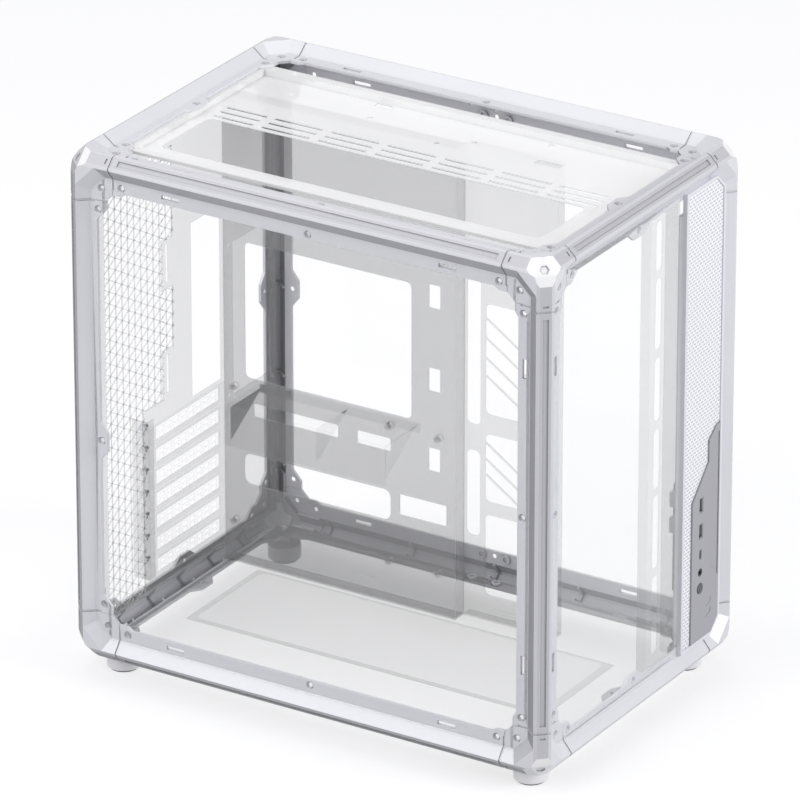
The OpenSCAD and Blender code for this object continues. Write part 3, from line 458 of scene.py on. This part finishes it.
def slotted_finish(name, colour, gap, row, pitch, turn, press):
    """rows of short dark slots: turn lays them in their plane, press is how deep they look"""
    made = finish(name, colour, rough=0.5, grain=900, depth=0.00004, metallic=0.1)
    nodes, links = made.node_tree.nodes, made.node_tree.links
    shade = nodes["Principled BSDF"]
    place = nodes.new("ShaderNodeTexCoord")
    laid = nodes.new("ShaderNodeMapping")
    laid.inputs["Rotation"].default_value = turn
    cells = nodes.new("ShaderNodeTexBrick")
    cells.offset = 0.5
    cells.inputs["Scale"].default_value = 1
    cells.inputs["Mortar Size"].default_value = row * 0.28
    cells.inputs["Mortar Smooth"].default_value = 0.25
    cells.inputs["Brick Width"].default_value = pitch
    cells.inputs["Row Height"].default_value = row
    links.new(place.outputs["Object"], laid.inputs["Vector"])
    links.new(laid.outputs["Vector"], cells.inputs["Vector"])
    paint = nodes.new("ShaderNodeMix")
    paint.data_type = "RGBA"
    paint.inputs["A"].default_value = (*gap, 1)
    links.new(cells.outputs["Fac"], paint.inputs["Factor"])
    links.new(nodes["Grain and Painted Light"].outputs["Colour"], paint.inputs["B"])
    links.new(paint.outputs["Result"], shade.inputs["Base Color"])
    pressed = nodes.new("ShaderNodeBump")
    pressed.inputs["Strength"].default_value = press
    pressed.inputs["Distance"].default_value = 0.0004
    links.new(cells.outputs["Fac"], pressed.inputs["Height"])
    links.new(nodes["Grain and Painted Light"].outputs["Normal"], pressed.inputs["Normal"])
    links.new(pressed.outputs["Normal"], shade.inputs["Normal"])
    return made


front_mesh_finish = slotted_finish("front_mesh_finish", (0.98, 0.98, 1.0), (0.64, 0.64, 0.73),
                                   slot_row, slot_pitch, upright_plane, press=0.5)
dress("front_vent_mesh", front_mesh_finish)

# Dust filter: a fine woven net that lies under the vent field of the floor. It is almost
# clear, and its threads run at a slant.
thread_row = 0.0026
thread_pitch = 0.009
thread_slant = (0, 0, math.radians(32))
filter_finish = slotted_finish("filter_finish", (0.80, 0.80, 0.81), (0.55, 0.55, 0.57),
                               thread_row, thread_pitch, thread_slant, press=0.4)
filter_finish.node_tree.nodes["Principled BSDF"].inputs["Alpha"].default_value = 0.14
dress("dust_filter", filter_finish)

# Rear lattice: the vent in the rear wall is punched into an open net of triangles with
# sides of about 11 mm, so the air passes almost freely. Its bars are a millimetre wide.
frame_corner = Vector((-0.230, -0.156, 0.0155))  # rear near bottom corner of the frame
lattice_from_rear = 0.020
lattice_thick = 0.0008
lattice_edge = 0.01085
bar_width = 0.0011
bar_length = 0.6
bar_rows = 61
row_step = lattice_edge * math.sqrt(3) / 2
# a crossing of the net, measured from the frame's corner as the windows are
net_crossing = (0.0799, 0.23105)
# spans of y and z that stay open
lattice_windows = (
    ((0.0265, 0.113), (0.195, 0.421)),  # upper field
    ((0.111, 0.129), (0.339, 0.421)),  # ear at its top
    ((0.111, 0.129), (0.239, 0.295)),  # ear at its foot
    ((0.0265, 0.083), (0.029, 0.196)),  # lower field
)


def only_select(pieces):
    """selects these pieces alone and makes the first one active"""
    bpy.ops.object.select_all(action="DESELECT")
    for piece in pieces:
        piece.select_set(True)
    bpy.context.view_layer.objects.active = pieces[0]


def lattice_bars(name):
    """three families of parallel bars across the whole rear wall, at 60 degrees to each other"""
    middle = frame_corner + Vector((lattice_from_rear + lattice_thick / 2, *net_crossing))
    families = []
    for turn in (0, 60, -60):
        bpy.ops.object.select_all(action="DESELECT")
        bpy.ops.mesh.primitive_cube_add(size=1, location=(0, 0, 0))
        bar = bpy.context.object
        bar.scale = (lattice_thick, bar_width, bar_length)
        bpy.ops.object.transform_apply(location=False, rotation=False, scale=True)
        rows = bar.modifiers.new("rows", "ARRAY")
        rows.use_relative_offset = False
        rows.use_constant_offset = True
        rows.constant_offset_displace = (0, row_step, 0)
        rows.count = bar_rows
        bpy.ops.object.modifier_apply(modifier="rows")
        bar.location = (0, -(bar_rows - 1) / 2 * row_step, 0)
        bpy.ops.object.transform_apply(location=True, rotation=False, scale=False)
        bar.rotation_euler = (math.radians(turn), 0, 0)
        bar.location = middle
        bpy.ops.object.transform_apply(location=True, rotation=True, scale=False)
        families.append(bar)
    only_select(families)
    bpy.ops.object.join()
    families[0].name = name
    return families[0]


def keep_inside(piece, low, high):
    """cuts a mesh to the window between two corners and closes the cuts"""
    only_select([piece])
    bpy.ops.object.mode_set(mode="EDIT")
    for axis in (1, 2):
        for corner, way in ((low, -1), (high, 1)):
            bpy.ops.mesh.select_all(action="SELECT")
            normal = [0, 0, 0]
            normal[axis] = way
            bpy.ops.mesh.bisect(plane_co=corner, plane_no=normal, use_fill=True, clear_outer=True)
    bpy.ops.mesh.select_all(action="SELECT")
    bpy.ops.mesh.normals_make_consistent(inside=False)
    bpy.ops.object.mode_set(mode="OBJECT")


whole = lattice_bars("lattice_source")
lattice_parts = []
for (y0, y1), (z0, z1) in lattice_windows:
    part = whole.copy()
    part.data = whole.data.copy()
    bpy.context.scene.collection.objects.link(part)
    keep_inside(part, frame_corner + Vector((0, y0, z0)), frame_corner + Vector((0, y1, z1)))
    lattice_parts.append(part)
bpy.data.objects.remove(whole)
only_select(lattice_parts)
bpy.ops.object.join()
rear_lattice = lattice_parts[0]
rear_lattice.name = "rear_lattice"
rear_lattice.data.materials.clear()
rear_lattice.data.materials.append(misty_sheet("misty_lattice", (0.92, 0.92, 0.92), body=0.28, rim=0.28))
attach(rear_lattice, "chassis")
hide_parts("rear_vent_mesh")
